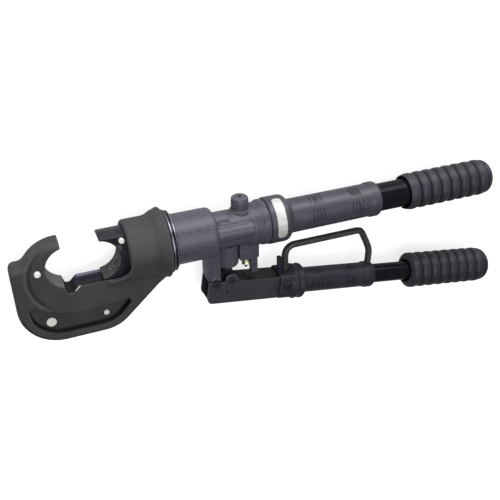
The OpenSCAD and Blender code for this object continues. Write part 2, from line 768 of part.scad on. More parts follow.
collar_wall = 4;
block_len = low_ring_u + 2 - channel_end;
tube_u = channel_end + 7;
bail_front_u = channel_end + 10.8;
screw_u = channel_end + 9.3;
screw_v = -7.8;
screw_r = 2;
screw_head_r = 5.2;
bail_foot_v = axis_v + low_tube_r + 0.4;

module collar_screws() {
    face = channel_w / 2 + collar_wall;
    // The shank ends just short of the tube, whose side curves away from the screw.
    reach = sqrt(pow(low_tube_r, 2) - pow(screw_v - axis_v, 2));
    shank = face - reach - run;
    color(blued) lever_frame() for (side = [0, 1]) mirror([0, 0, side]) translate([screw_u, screw_v, face]) {
        difference() {
            rotate_extrude() polygon([[0, -shank], [screw_r, -shank], [screw_r, 0], [screw_head_r, 0],
                [screw_head_r, 1], [screw_head_r - 1.2, 2.4], [0, 2.8]]);
            translate([-0.7, -3, 1.6]) cube([1.4, 6, 3]);
            translate([-3, -0.7, 1.6]) cube([6, 1.4, 3]);
        }
    }
}

module lower_sleeve() {
    color(gloss_black) lever_frame() translate([0, axis_v, 0]) difference() {
        sleeve(low_sleeve_u, low_sleeve_end, low_sleeve_r, low_tube_r, [low_sleeve_u + 10.4, low_sleeve_end - 42.6]);
        translate([bail_rear_u, 0, 0]) rotate([-90, 0, 0]) cylinder(h = 40, r = bail_r);
    }
}

bail_rear_u = low_sleeve_end - 6;

module lower_tube() {
    color(gloss_black) lever_frame() translate([0, axis_v, 0]) difference() {
        rod_x(tube_u, low_grip_end - 12, low_tube_r);
        rod_x(tube_u - 1, low_grip_end, low_tube_r - 2);
    }
}

module tube_plug() {
    color(gloss_black) lever_frame() translate([0, axis_v, 0]) turned([[low_grip_end - 24, 0],
        [low_grip_end - 24, low_tube_r - 2], [low_grip_end - 12, low_tube_r - 2], [low_grip_end - 12, low_tube_r],
        [low_grip_end - 8, low_tube_r], [low_grip_end - 8, 0]]);
}

module lower_grip() {
    color(rubber) lever_frame() translate([0, axis_v, 0]) grip(low_grip_u, low_grip_end, grip_r + 0.4, low_tube_r);
}

// The bail's path in the lever's frame: its top run lies parallel to the ram's axis.
function run_v(u) = (-bail_drop - piv_y) / cos(lever_angle) + u * tan(lever_angle);
function bail_path() = let (
    a = lever_angle,
    bend = 12,
    front = [bail_front_u - 3.4, run_v(bail_front_u - 3.4)],
    rear = [bail_rear_u - 26, run_v(bail_rear_u - 26)],
    knee = [bail_rear_u - 4.6, 29]
) concat(
    [[bail_front_u, bail_foot_v], [bail_front_u - 0.6, channel_top + 8], [bail_front_u - 3, front[1] - bend - 4]],
    arc([bail_front_u - 3.2 + bend, front[1] - bend + 2], bend, 180, 90 + a, 7),
    [rear + [-8, -8 * tan(a)], rear, rear + [4.4, -0.5], rear + [8, -3.6]],
    [knee + [-4.2, 7], knee, knee + [2.4, -6]],
    [[bail_rear_u - 0.6, axis_v + low_sleeve_r + 6], [bail_rear_u, axis_v + low_tube_r + 1]]
);

module guard_bail() {
    color(body_grey) lever_frame() bent_bar(bail_path(), bail_r);
}

head_yoke();
swivel_ring();
large_plug();
small_plug();
fixed_die_button();
fixed_button_spring();
ram();
piston_seal();
wear_band();
ram_die_button();
ram_button_spring();
ram_return_spring();
ram_cylinder();
pump_body();
filler_plug();
release_valve();
valve_spring();
valve_tip();
pump_plunger();
plunger_seal();
reservoir_collar();
collar_nut();
label_strip();
upper_sleeve();
reservoir_tube();
oil_bladder();
bladder_clamp();
tube_end_cap();
upper_grip();
lever_channel();
pivot_pin();
link_pin();
roll_pin();
striker_screw();
lever_collar();
collar_screws();
lower_sleeve();
lower_tube();
tube_plug();
lower_grip();
guard_bail();
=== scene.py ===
import json
import math

import bmesh
import bpy
from mathutils import Matrix, Vector


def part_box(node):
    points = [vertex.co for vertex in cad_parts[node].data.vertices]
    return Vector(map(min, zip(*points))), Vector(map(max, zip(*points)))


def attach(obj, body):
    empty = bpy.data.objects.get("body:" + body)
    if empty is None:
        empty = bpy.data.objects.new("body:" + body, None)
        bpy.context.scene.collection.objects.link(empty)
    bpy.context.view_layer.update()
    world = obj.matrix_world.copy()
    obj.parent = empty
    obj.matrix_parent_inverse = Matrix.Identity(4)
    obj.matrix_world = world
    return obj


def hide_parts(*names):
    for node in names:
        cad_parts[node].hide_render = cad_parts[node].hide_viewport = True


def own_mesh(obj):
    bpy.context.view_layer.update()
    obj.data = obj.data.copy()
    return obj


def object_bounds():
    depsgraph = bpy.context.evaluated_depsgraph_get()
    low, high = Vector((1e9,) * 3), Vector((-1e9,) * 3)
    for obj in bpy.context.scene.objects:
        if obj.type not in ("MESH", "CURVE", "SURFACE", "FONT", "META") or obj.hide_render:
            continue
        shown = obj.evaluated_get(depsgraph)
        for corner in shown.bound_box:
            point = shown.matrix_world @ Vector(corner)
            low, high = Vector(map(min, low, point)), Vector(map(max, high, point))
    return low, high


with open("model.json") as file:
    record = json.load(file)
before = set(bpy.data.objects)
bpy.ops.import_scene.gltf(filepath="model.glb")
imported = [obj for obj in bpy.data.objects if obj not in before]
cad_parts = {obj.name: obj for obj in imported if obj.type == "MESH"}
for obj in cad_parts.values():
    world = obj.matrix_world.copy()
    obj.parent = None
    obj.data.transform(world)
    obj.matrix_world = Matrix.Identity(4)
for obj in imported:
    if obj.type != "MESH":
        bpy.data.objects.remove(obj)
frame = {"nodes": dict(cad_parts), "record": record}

nodes = frame["nodes"]
cad_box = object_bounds()

# The camera stands above and ahead of the tool, on the side of its jaws, and looks down on the near side.
# Its lens and its three angles are those at which the jaws, the rings and both handles line up.
aimed_at = Vector((0.1221, 0, 0))
distance, aside, above = 0.8, 0.0811, -0.0124
yaw, tilt, roll = math.radians(18), math.radians(32.5), math.radians(-1.17)
forward = Vector((math.sin(yaw), -math.cos(yaw) * math.sin(tilt), -math.cos(yaw) * math.cos(tilt)))
level = forward.cross(Vector((0, 1, 0))).normalized()
upright = level.cross(forward)
right = math.cos(roll) * level + math.sin(roll) * upright
up = math.cos(roll) * upright - math.sin(roll) * level
stand = aimed_at - distance * forward + aside * right + above * up
eye = bpy.data.cameras.new("eye")
eye.lens = 51.84
eye.sensor_width = 36
eye_object = bpy.data.objects.new("eye", eye)
eye_object.matrix_world = Matrix.Translation(stand) @ Matrix((right, up, -forward)).transposed().to_4x4()
bpy.context.scene.collection.objects.link(eye_object)
bpy.context.scene.camera = eye_object


# The room: the tool lies on white paper, which is white to the eye but keeps the tool's shadow, and which glows
# behind the tool to light its upper side, and faintly in reflections. A wide soft box stands behind the tool, a weak
# one hangs ahead, and a long narrow one draws the bright line on the tubes. The walls are white to the eye and light
# the tool weakly.
class Wire:
    """One output of a material's node, with the usual operators."""

    def __init__(self, finish, socket):
        self.finish = finish
        self.socket = socket

    def reckon(self, operation, first, second=0.0):
        return self.finish.node("ShaderNodeMath", {"operation": operation}, {0: first, 1: second})

    def __add__(self, other):
        return self.reckon("ADD", self, other)

    def __radd__(self, other):
        return self.reckon("ADD", other, self)

    def __sub__(self, other):
        return self.reckon("SUBTRACT", self, other)

    def __rsub__(self, other):
        return self.reckon("SUBTRACT", other, self)

    def __mul__(self, other):
        return self.reckon("MULTIPLY", self, other)

    def __rmul__(self, other):
        return self.reckon("MULTIPLY", other, self)

    def __gt__(self, other):
        return self.reckon("GREATER_THAN", self, other)

    def __lt__(self, other):
        return self.reckon("LESS_THAN", self, other)

    def __abs__(self):
        return self.reckon("ABSOLUTE", self)

    def root(self):
        return self.reckon("SQRT", self)

    def wave(self):
        return self.reckon("SINE", self)

    def highest(self, other):
        return self.reckon("MAXIMUM", self, other)

    def eased(self, low, high, to_low=0.0, to_high=1.0):
        return self.finish.node("ShaderNodeMapRange", {"interpolation_type": "SMOOTHSTEP"},
                                {"Value": self, "From Min": low, "From Max": high, "To Min": to_low,
                                 "To Max": to_high}, "Result")

    def spread(self, to_low=0.0, to_high=1.0):
        """Specks keep near their middle value. This stretches them from one value to the other."""
        return self.eased(0.3, 0.7, to_low, to_high)


class Finish:
    """A surface finish being mixed. Sizes on it are in metres, as the tool's are."""

    def __init__(self, name, metallic=0.0, specular=0.5):
        self.material = bpy.data.materials.new(name)
        self.material.use_nodes = True
        self.tree = self.material.node_tree
        self.shader = next(n for n in self.tree.nodes if n.type == "BSDF_PRINCIPLED")
        self.shader.inputs["Metallic"].default_value = metallic
        self.shader.inputs["Specular IOR Level"].default_value = specular
        self.where = self.node("ShaderNodeTexCoord", {}, {}, "Object")
        self.x, self.y, self.z = (self.node("ShaderNodeSeparateXYZ", {}, {0: self.where}, i) for i in range(3))

    def node(self, kind, settings, values, output=0):
        made = self.tree.nodes.new(kind)
        for key, value in settings.items():
            setattr(made, key, value)
        for key, value in values.items():
            if isinstance(value, Wire):
                self.tree.links.new(value.socket, made.inputs[key])
            else:
                made.inputs[key].default_value = value
        return Wire(self, made.outputs[output])

    def kept(self, attribute):
        return self.node("ShaderNodeAttribute", {"attribute_name": attribute}, {}, "Fac")

    def drawn_out(self, along_x, along_y, along_z):
        return self.node("ShaderNodeVectorMath", {"operation": "MULTIPLY"},
                         {0: self.where, 1: (along_x, along_y, along_z)})

    def specks(self, scale, detail=3.0, where=None, rough=0.5):
        return self.node("ShaderNodeTexNoise", {}, {"Vector": where or self.where, "Scale": scale,
                                                    "Detail": detail, "Roughness": rough}, "Fac")

    def mix(self, amount, first, second):
        return self.node("ShaderNodeMix", {"data_type": "RGBA"}, {0: amount, 6: first, 7: second}, 2)

    def ridges(self, height, depth, strength):
        bumped = self.node("ShaderNodeBump", {}, {"Height": height, "Distance": depth, "Strength": strength},
                           "Normal")
        self.tree.links.new(bumped.socket, self.shader.inputs["Normal"])

    def lay(self, colour, roughness, metallic=None):
        for key, value in (("Base Color", colour), ("Roughness", roughness), ("Metallic", metallic)):
            if isinstance(value, Wire):
                self.tree.links.new(value.socket, self.shader.inputs[key])
            elif value is not None:
                self.shader.inputs[key].default_value = value
        return self.material


paper_size, under_tool, tool_middle = 12, 0.0002, 0.25
bpy.ops.object.select_all(action="DESELECT")
bpy.ops.mesh.primitive_plane_add(size=paper_size, location=(tool_middle, 0, cad_box[0][2] - under_tool))
paper_sheet = bpy.context.object
paper_sheet.name = "paper_sheet"
paper = Finish("white_paper", specular=0.2)
paper.lay((0.6, 0.6, 0.6, 1), 0.9)
seen = paper.node("ShaderNodeLightPath", {}, {}, "Is Camera Ray")
mirrored = paper.node("ShaderNodeLightPath", {}, {}, "Is Glossy Ray")
# The paper's glow behind the tool, for all rays but the camera's, is painted light on the tool's upper side.
behind = paper.y.eased(0.03, 0.3) * (1 - seen)
glow = paper.node("ShaderNodeEmission", {},
                  {"Color": (1, 1, 1, 1), "Strength": seen * 0.68 + mirrored * 0.04 + behind * 0.8})
lit = paper.node("ShaderNodeAddShader", {}, {0: glow, 1: Wire(paper, paper.shader.outputs[0])})
surface = next(n for n in paper.tree.nodes if n.type == "OUTPUT_MATERIAL").inputs["Surface"]
paper.tree.links.new(lit.socket, surface)
paper_sheet.data.materials.append(paper.material)

wall_light = 0.3
bpy.context.scene.view_settings.view_transform = "Standard"
room = bpy.data.worlds.new("room")
room.use_nodes = True
walls = room.node_tree.nodes["Background"]
walls.inputs["Color"].default_value = (1, 1, 1, 1)
to_eye = room.node_tree.nodes.new("ShaderNodeLightPath")
wall_glow = room.node_tree.nodes.new("ShaderNodeMapRange")
wall_glow.inputs["To Min"].default_value = wall_light
room.node_tree.links.new(to_eye.outputs["Is Camera Ray"], wall_glow.inputs["Value"])
room.node_tree.links.new(wall_glow.outputs["Result"], walls.inputs["Strength"])
bpy.context.scene.world = room


def hang_lamp(name, where, aim, width, height, watts):
    lamp = bpy.data.lights.new(name, "AREA")
    lamp.shape = "RECTANGLE"
    lamp.size = width
    lamp.size_y = height
    lamp.energy = watts
    hung = bpy.data.objects.new(name, lamp)
    facing = (Vector(aim) - Vector(where)).to_track_quat("-Z", "Y").to_matrix().to_4x4()
    hung.matrix_world = Matrix.Translation(where) @ facing
    bpy.context.scene.collection.objects.link(hung)


hang_lamp("soft_box_behind", (0.3, 1.2, 0.26), (0.25, 0, 0), width=2.6, height=0.66, watts=27)
hang_lamp("soft_box_ahead", (0.1, 0.1, 1.2), (0.15, -0.05, 0), width=1.1, height=0.8, watts=9)
hang_lamp("strip_light", (0.35, 0.52, 0.76), (0.35, -0.03, 0), width=1.3, height=0.03, watts=0.8)


# The head is one steel forging, with a thin matte dark coat all over that softens its edges. The trough that the
# ram slides in is left bare and blued, the fixed die seat is rubbed grey, and a highlight is painted on the throat's
# edge.
def lift_off(name, voxel=None, rounds=0, sharp=32, smear=2):
    """Copies a CAD node's mesh into a piece of the scene's own that rides where the node does and replaces it."""
    same_point = 0.000004
    copied = bpy.data.objects.new(name + "_skin", nodes[name].data.copy())
    bpy.context.scene.collection.objects.link(copied)
    bpy.ops.object.select_all(action="DESELECT")
    copied.select_set(True)
    bpy.context.view_layer.objects.active = copied
    bpy.ops.object.mode_set(mode="EDIT")
    bpy.ops.mesh.select_all(action="SELECT")
    bpy.ops.mesh.remove_doubles(threshold=same_point)
    bpy.ops.object.mode_set(mode="OBJECT")
    if voxel:
        remesh = copied.modifiers.new("skin", "REMESH")
        remesh.mode = "VOXEL"
        remesh.voxel_size = voxel
        bpy.ops.object.modifier_apply(modifier="skin")
        smooth = copied.modifiers.new("eased", "SMOOTH")
        smooth.factor = 0.5
        smooth.iterations = rounds
        bpy.ops.object.modifier_apply(modifier="eased")
        bpy.ops.object.shade_smooth()
        mark_edges(copied, voxel, smear)
    else:
        bpy.ops.object.shade_smooth_by_angle(angle=math.radians(sharp))
        weigh = copied.modifiers.new("weighed", "WEIGHTED_NORMAL")
        weigh.keep_sharp = True
        bpy.ops.object.modifier_apply(modifier="weighed")
    for body, members in frame["record"]["behaviour"]["bodies"].items():
        if name in members:
            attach(copied, body)
    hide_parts(name)
    return copied


def mark_edges(piece, grid, smear):
    """Keeps how far each point stands out of its neighbours: over 0 on outer edges, under 0 in corners."""
    full_edge = 0.12 * grid
    skin = bmesh.new()
    skin.from_mesh(piece.data)
    skin.normal_update()
    around = [[edge.other_vert(point) for edge in point.link_edges] for point in skin.verts]
    stands = []
    for point, near in zip(skin.verts, around):
        middle = sum((other.co for other in near), Vector()) / max(len(near), 1)
        stands.append((point.co - middle).dot(point.normal) / full_edge)
    near_at = [[other.index for other in near] for near in around]
    for turn in range(smear):
        stands = [0.5 * stands[i] + 0.5 * sum(stands[j] for j in near) / max(len(near), 1)
                  for i, near in enumerate(near_at)]
    skin.free()
    piece.data.attributes.new("edge", "FLOAT", "POINT").data.foreach_set("value", stands)


def dress(material, *pieces):
    for piece in pieces:
        mesh = (nodes[piece] if isinstance(piece, str) else piece).data
        mesh.materials.clear()
        mesh.materials.append(material)


def shade_pocket(skin):
    """Marks the lower wall of the pockets in the head's two faces, which the light from above the rim misses."""
    floor_z, pocket_depth, past_rim = 0.0045, 0.008, 1.08
    upper_wall_y, fade = -0.052, 0.006
    wall = []
    for point in skin.data.vertices:
        facing = max(0.0, point.normal.y) + 0.5 * max(0.0, -point.normal.x)
        depth = (abs(point.co.z) - floor_z) / pocket_depth
        low_enough = min(max((upper_wall_y - point.co.y) / fade, 0), 1)
        wall.append(min(1.0, 3 * facing) * low_enough if 0 < depth < past_rim else 0.0)
    skin.data.attributes.new("wall", "FLOAT", "POINT").data.foreach_set("value", wall)


def away(first, second):
    return (first * first + second * second).root()


head_skin = lift_off("head_yoke", 0.0009, 2, smear=3)
shade_pocket(head_skin)
coat = Finish("head_coat", specular=0.2)
coat_grain = coat.specks(700, 4)
coat.ridges(coat_grain, 0.0002, 0.6)
coat_colour = coat.mix(coat.specks(28).spread(), (0.033, 0.033, 0.035, 1), (0.043, 0.043, 0.0455, 1))
# The step round the fixed jaw's face, from the jaw's tip round to the pocket: painted shade along its foot and a
# painted highlight along its shoulder.
step_x, step_y, foot_r, shoulder_r = 0.0026, -0.0106, 0.0443, 0.0483
from_step = away(coat.x - step_x, coat.y - step_y)
on_face = (abs(coat.z) > 0.0105) * (coat.x < -0.004) * coat.y.eased(-0.051, -0.045)
step_foot_shade = (1 - abs(from_step - foot_r).eased(0.0004, 0.0024)) * on_face
step_shoulder_highlight = (1 - abs(from_step - shoulder_r).eased(0.0006, 0.0026)) * on_face
coat_colour = coat.mix(step_shoulder_highlight * 0.35, coat_colour, (0.095, 0.095, 0.098, 1))
coat_colour = coat.mix(step_foot_shade * 0.5, coat_colour, (0.012, 0.012, 0.013, 1))
# The coat is rubbed along the outer edges. Shade is painted dark in the corners and on the pockets' lower walls.
rubbed = coat.kept("edge").eased(0.25, 1.1) * coat_grain.eased(0.35, 0.6, 0.3, 1)
corner = coat.kept("edge").eased(-0.15, -0.9).highest(coat.kept("wall"))
coat_colour = coat.mix(rubbed * 0.5, coat_colour, (0.1, 0.1, 0.1, 1))
coat_colour = coat.mix(corner * 0.9, coat_colour, (0.004, 0.004, 0.005, 1))
# The die seat's wall is bare and grey between the jaw's two faces.
die_seat_r = 0.0235
seat_wall = (abs(away(coat.x, coat.y) - die_seat_r).eased(0.0009, 0.0005)
             * abs(coat.z).eased(0.0128, 0.0122))
seat_grey = coat.mix(coat.specks(60, 3), (0.075, 0.075, 0.073, 1), (0.12, 0.12, 0.117, 1))
coat_colour = coat.mix(seat_wall, coat_colour, seat_grey)
# Shade is painted dark in the notch at the throat's foot, and a highlight is painted bright along one of its edges.
notch_x, notch_y, notch_r = 0.001, -0.029, 0.0085
notch_shade = (away(coat.x - notch_x, coat.y - notch_y) < notch_r) * (abs(coat.z) < 0.0126)
coat_colour = coat.mix(notch_shade * 0.85, coat_colour, (0.005, 0.005, 0.006, 1))
glint_foot, glint_way = (0.0006, -0.0322), (0.757, 0.653)
beside_glint = abs((coat.y - glint_foot[1]) * glint_way[0] - (coat.x - glint_foot[0]) * glint_way[1])
along_glint = (coat.x - glint_foot[0]) * glint_way[0] + (coat.y - glint_foot[1]) * glint_way[1]
painted_edge_glint = (beside_glint.eased(0.0007, 0.0004) * (along_glint > 0.0035) * (along_glint < 0.0115)
           * (coat.z > 0.0125))
# The trough is bare inside its bore's radius, painted light on the far side and painted with shade along the middle,
# nearly black in front.
bore_r, trough_front, trough_back = 0.0284, 0.0015, 0.3
bare = (away(coat.y, coat.z) < bore_r) * (coat.x > trough_front) * (coat.x < trough_back)
ground_lines = coat.specks(260, 2, coat.drawn_out(0.08, 1, 1))
trough_steel_and_shade = coat.mix(ground_lines, (0.12, 0.12, 0.155, 1), (0.2, 0.2, 0.25, 1))
trough_steel_and_shade = coat.mix(coat.z.eased(-0.0125, -0.0065), trough_steel_and_shade, (0.03, 0.03, 0.045, 1))
trough_steel_and_shade = coat.mix(coat.z.eased(0.001, 0.006), trough_steel_and_shade, (0.008, 0.008, 0.012, 1))
coat_colour = coat.mix(painted_edge_glint, coat.mix(bare, coat_colour, trough_steel_and_shade), (0.62, 0.62, 0.58, 1))
dress(coat.lay(coat_colour, 0.6 - 0.28 * bare - 0.12 * seat_wall, bare.highest(painted_edge_glint * 0.5)), head_skin)


# The ring that the head turns on is turned from steel, darkened and polished: a bright flange, a groove and a
# narrower band behind it, bored to slip over the cylinder. Shade is painted dark in the groove and on its back edge.
def draw_out(name, stations, around, bored=False):
    """One ring of points, drawn out along its axis and resized from station to station."""
    bpy.ops.object.select_all(action="DESELECT")
    bpy.ops.mesh.primitive_circle_add(vertices=around, radius=stations[0][1],
                                      fill_type="NOTHING" if bored else "NGON", location=(0, 0, stations[0][0]))
    piece = bpy.context.object
    piece.name = name
    bpy.ops.object.transform_apply(location=True, rotation=False, scale=False)
    bpy.ops.object.mode_set(mode="EDIT")
    bpy.ops.mesh.select_all(action="SELECT")
    for (a0, r0), (a1, r1) in zip(stations, stations[1:]):
        bpy.ops.mesh.extrude_region_move(TRANSFORM_OT_translate={"value": (0, 0, a1 - a0)})
        if r1 != r0:
            bpy.ops.transform.resize(value=(r1 / r0, r1 / r0, 1), center_override=(0, 0, a1))
    if not bored:
        bpy.ops.mesh.poke()
    bpy.ops.mesh.select_all(action="SELECT")
    bpy.ops.mesh.remove_doubles(threshold=0.00001)
    bpy.ops.mesh.normals_make_consistent(inside=False)
    bpy.ops.object.mode_set(mode="OBJECT")
    return piece


def turn_round(name, body, axis_turn, foot, stations, around=96, bored=False):
    """A turned piece, laid along its axis and set on its foot."""
    piece = draw_out(name, stations, around, bored)
    bpy.ops.object.shade_smooth_by_angle(angle=math.radians(40))
    piece.rotation_euler = axis_turn
    bpy.ops.object.transform_apply(location=False, rotation=True, scale=False)
    piece.location = foot
    bpy.ops.object.transform_apply(location=True, rotation=False, scale=False)
    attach(piece, body)
    return piece


ring_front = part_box("swivel_ring")[0][0]
ring_profile = [(0, 0.0291), (0, 0.0346), (0.0005, 0.0354), (0.0018, 0.0354), (0.0022, 0.0347), (0.0026, 0.0333),
                (0.0042, 0.0331), (0.0046, 0.0341), (0.006, 0.0338), (0.0068, 0.0326), (0.007, 0.0291), (0, 0.0291)]
groove_middle, band_back = 0.0034, 0.0063
ring_skin = turn_round("swivel_ring_skin", "head", (0, math.pi / 2, 0), (ring_front, 0, 0), ring_profile,
                       around=160, bored=True)
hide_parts("swivel_ring")
ring = Finish("ring_black", metallic=0.9)
ring_lines = ring.specks(90, 2, ring.drawn_out(0.2, 1, 1))
in_groove = abs(ring.x - (ring_front + groove_middle)).eased(0.0014, 0.001)
ring_shade_mask = in_groove.highest(ring.x > ring_front + band_back)
ring_bright = ring.mix(ring_lines, (0.13, 0.13, 0.16, 1), (0.21, 0.21, 0.25, 1))
ring_shade_colour = ring.mix(ring_lines, (0.015, 0.015, 0.022, 1), (0.035, 0.035, 0.045, 1))
dress(ring.lay(ring.mix(ring_shade_mask, ring_bright, ring_shade_colour), ring_lines.spread(0.24, 0.34)), ring_skin)

# Plugs and die buttons are turned steel with bright plating. Each button stands on a small wire spring in its bore,
# and the release valve and the ram have their own springs. The bladder's clamp and the tube nut are plated too.
plating = Finish("bright_plating", metallic=0.35)
plate_colour = plating.mix(plating.specks(600, 2), (0.74, 0.74, 0.71, 1), (0.87, 0.87, 0.84, 1))
dress(plating.lay(plate_colour, plating.specks(1500, 2).spread(0.3, 0.45)), "large_plug", "small_plug",
      "fixed_die_button", "ram_die_button", "bladder_clamp", "collar_nut")
spring_wire = Finish("spring_wire", metallic=1.0)
dress(spring_wire.lay((0.35, 0.35, 0.37, 1), spring_wire.specks(700).spread(0.25, 0.4)),
      "ram_return_spring", "valve_spring")
for spring, push in (("fixed_button_spring", "fixed_button_push"), ("ram_button_spring", "ram_button_push")):
    coil = lift_off(spring)
    dress(spring_wire.material, coil)
    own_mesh(coil)

# The ram with its piston is one turned bar of blued steel, milled flat between its horns, and its die seat is
# ground. The pins, the lever's screws and the pump's plunger have the same finish.
blued = Finish("blued_steel", specular=0.2)
streaks = blued.specks(420, 3, blued.drawn_out(0.06, 1, 1))
blued.ridges(streaks, 0.00005, 0.35)
ram_seat_x, ram_half_width, behind_seat = 0.0323, 0.0128, 0.0565
ground = (abs(away(blued.x - ram_seat_x, blued.y) - die_seat_r).eased(0.0009, 0.0005)
          * (abs(blued.z) < ram_half_width) * (blued.x < behind_seat))
scuffs = blued.specks(240, 3).spread()
ground_colour = blued.mix(scuffs, (0.034, 0.034, 0.036, 1), (0.062, 0.062, 0.065, 1))
# The far upper part of the seat's wall is painted light, as a highlight.
seat_far_highlight = blued.z.eased(-0.004, -0.012) * blued.y.eased(-0.008, 0.006)
ground_colour = blued.mix(seat_far_highlight * 0.7, ground_colour, (0.2, 0.21, 0.2, 1))
# Two tool marks curl round the middle of the seat, and a short slash is cut between them.
marks_y, curl_r, curl_apart = -0.0125, 0.0064, 0.0014
curl = away(blued.y - marks_y, blued.z)
curls = (abs(abs(curl - curl_r) - curl_apart).eased(0.0004, 0.0002)
         * (blued.z < 0.004) * (blued.y < -0.006))
slash = abs(blued.y - marks_y - 0.8 * blued.z).eased(0.0013, 0.0008) * (abs(blued.z) < 0.0036)
ground_colour = blued.mix(curls * 0.8, ground_colour, (0.2, 0.2, 0.205, 1))
ground_colour = blued.mix(slash, ground_colour, (0.004, 0.004, 0.004, 1))
blued_colour = blued.mix(blued.specks(45, 2).spread(), (0.01, 0.01, 0.015, 1), (0.02, 0.02, 0.028, 1))
dress(blued.lay(blued.mix(ground, blued_colour, ground_colour), streaks.spread(0.2, 0.28) + ground * 0.25),
      lift_off("ram"), lift_off("pivot_pin"), "link_pin", "roll_pin", "collar_screws", "pump_plunger",
      "striker_screw")

# Cylinder, pump body and filler plug are iron castings under a dark blue-grey paint that follows their pimples and
# is rubbed thin along the edges; shade is painted dark in their corners. Six fine rings are turned into the neck
# ahead of the reservoir's collar.
cast_paint = Finish("cast_paint", specular=0.4)
pimples = cast_paint.specks(380, 5, rough=0.7)
paint_colour = cast_paint.mix(pimples.eased(0.36, 0.64), (0.043, 0.041, 0.056, 1), (0.065, 0.0625, 0.083, 1))
thin = cast_paint.kept("edge").eased(0.3, 1.2) * pimples.eased(0.4, 0.6, 0.4, 1)
paint_colour = cast_paint.mix(thin * 0.8, paint_colour, (0.24, 0.235, 0.27, 1))
cast_corner_shade = cast_paint.kept("edge").eased(-0.2, -1.0)
paint_colour = cast_paint.mix(cast_corner_shade * 0.8, paint_colour, (0.01, 0.01, 0.012, 1))
neck_x, neck_rings, ring_pitch = 0.2098, 6, 0.0026
on_neck = (cast_paint.x > neck_x) * (cast_paint.x < neck_x + neck_rings * ring_pitch)
turned_lines = ((cast_paint.x - neck_x) * (2 * math.pi / ring_pitch)).wave().eased(0.55, 0.95) * on_neck
paint_colour = cast_paint.mix(turned_lines * 0.55, paint_colour, (0.012, 0.012, 0.015, 1))
cast_paint.ridges(pimples * 0.9 - turned_lines, 0.0004, 0.7)
cast_paint.lay(paint_colour, pimples.spread(0.28, 0.44))
body_skin = lift_off("pump_body", 0.0006, 2)
plug_lowest, plug_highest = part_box("filler_plug")
plug_top, plug_x = plug_highest[1], (plug_lowest[0] + plug_highest[0]) / 2
boss_r, boss_foot_r, body_top, drawn_in = 0.0101, 0.0126, 0.0224, 0.85
# The foot of the filler boss is drawn in, so that it flares out of the body instead of standing on a step.
bpy.ops.object.mode_set(mode="EDIT")
foot = bmesh.from_edit_mesh(body_skin.data)
for point in foot.verts:
    from_boss = math.hypot(point.co.x - plug_x, point.co.z)
    point.select = point.co.y > body_top and boss_r < from_boss < boss_foot_r
foot.select_flush_mode()
bmesh.update_edit_mesh(body_skin.data)
bpy.ops.transform.resize(value=(drawn_in, 1, drawn_in), center_override=(plug_x, 0, 0))
bpy.ops.object.mode_set(mode="OBJECT")
dress(cast_paint.material, lift_off("ram_cylinder", 0.0007, 2), body_skin)


def quarter(start, radius, bend, steps=6):
    """Stations of a rounded edge that starts level with the wall and ends level with the face."""
    return [(start + bend * math.sin(a), radius - bend * (1 - math.cos(a)))
            for a in (math.radians(90 * k / steps) for k in range(1, steps + 1))]


shank_r, seam_y, plug_r, plug_bend, in_body = 0.006, plug_top - 0.0056, boss_r - 0.0002, 0.0032, 0.018
plug_skin = turn_round("filler_plug_skin", "body", (-math.pi / 2, 0, 0), (plug_x, 0, 0),
                       [(plug_top - 0.013, shank_r), (seam_y, shank_r), (plug_top - 0.0055, plug_r)]
                       + quarter(plug_top - plug_bend, plug_r, plug_bend)
                       + [(plug_top, 0.0026), (plug_top - 0.0022, 0.0022)])
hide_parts("filler_plug")
boss_skin = turn_round("filler_boss_skin", "body", (-math.pi / 2, 0, 0), (plug_x, 0, 0),
                       [(in_body, 0.0095), (0.02, boss_r), (plug_top - 0.0059, boss_r),
                        (plug_top - 0.0057, boss_r - 0.0003), (seam_y, shank_r)])
plunger_lowest, plunger_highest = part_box("pump_plunger")
eye_overhang, plunger_bore, barrel_r, barrel_end, barrel_bend = 0.0028, 0.0059, 0.0136, 0.0425, 0.0045
plunger_x = (plunger_lowest[0] + plunger_highest[0] + eye_overhang) / 2
barrel_skin = turn_round("pump_barrel_skin", "body", (math.pi / 2, 0, 0), (plunger_x, 0, 0),
                         [(in_body, plunger_bore), (in_body, barrel_r), (barrel_end, barrel_r)]
                         + quarter(barrel_end, barrel_r, barrel_bend)
                         + [(0.0471, plunger_bore), (in_body, plunger_bore)], bored=True)
dress(cast_paint.material, plug_skin, boss_skin, barrel_skin)

# The lever's channel is bent from steel sheet and the bail from round bar. Both are painted nearly black, and shade
# is painted darker on the channel's closed back, under the body. The lever lies 9 degrees off the tool's axis, from
# its pivot on.
pivot = (0.1622, -0.064)
lever_angle = math.radians(9)


def across_lever(finish):
    return (finish.x - pivot[0]) * math.sin(lever_angle) + (finish.y - pivot[1]) * math.cos(lever_angle)


channel_skin = lift_off("lever_channel", 0.0006, 2)
channel_paint = Finish("channel_paint", specular=0.3)
grit = channel_paint.specks(800, 4)
channel_paint.ridges(grit, 0.0001, 0.5)
channel_colour = channel_paint.mix(channel_paint.specks(35).spread(), (0.02, 0.0195, 0.026, 1),
                                   (0.029, 0.028, 0.036, 1))
channel_colour = channel_paint.mix(channel_paint.kept("edge").eased(0.3, 1.2) * 0.5, channel_colour,
                                   (0.13, 0.13, 0.15, 1))
on_back = across_lever(channel_paint)
back_shade = on_back.eased(0.0022, 0.0029) * (on_back < 0.004)
channel_colour = channel_paint.mix(back_shade, channel_colour, (0.006, 0.006, 0.008, 1))
dress(channel_paint.lay(channel_colour, grit.spread(0.36, 0.5)), channel_skin)
bail_paint = Finish("bail_paint", specular=0.5)
bail_grit = bail_paint.specks(800, 4)
bail_paint.ridges(bail_grit, 0.0001, 0.5)
bail_colour = bail_paint.mix(bail_paint.specks(60).spread(), (0.021, 0.021, 0.0245, 1), (0.03, 0.03, 0.035, 1))
dress(bail_paint.lay(bail_colour, bail_grit.spread(0.34, 0.46)), lift_off("guard_bail", sharp=60))

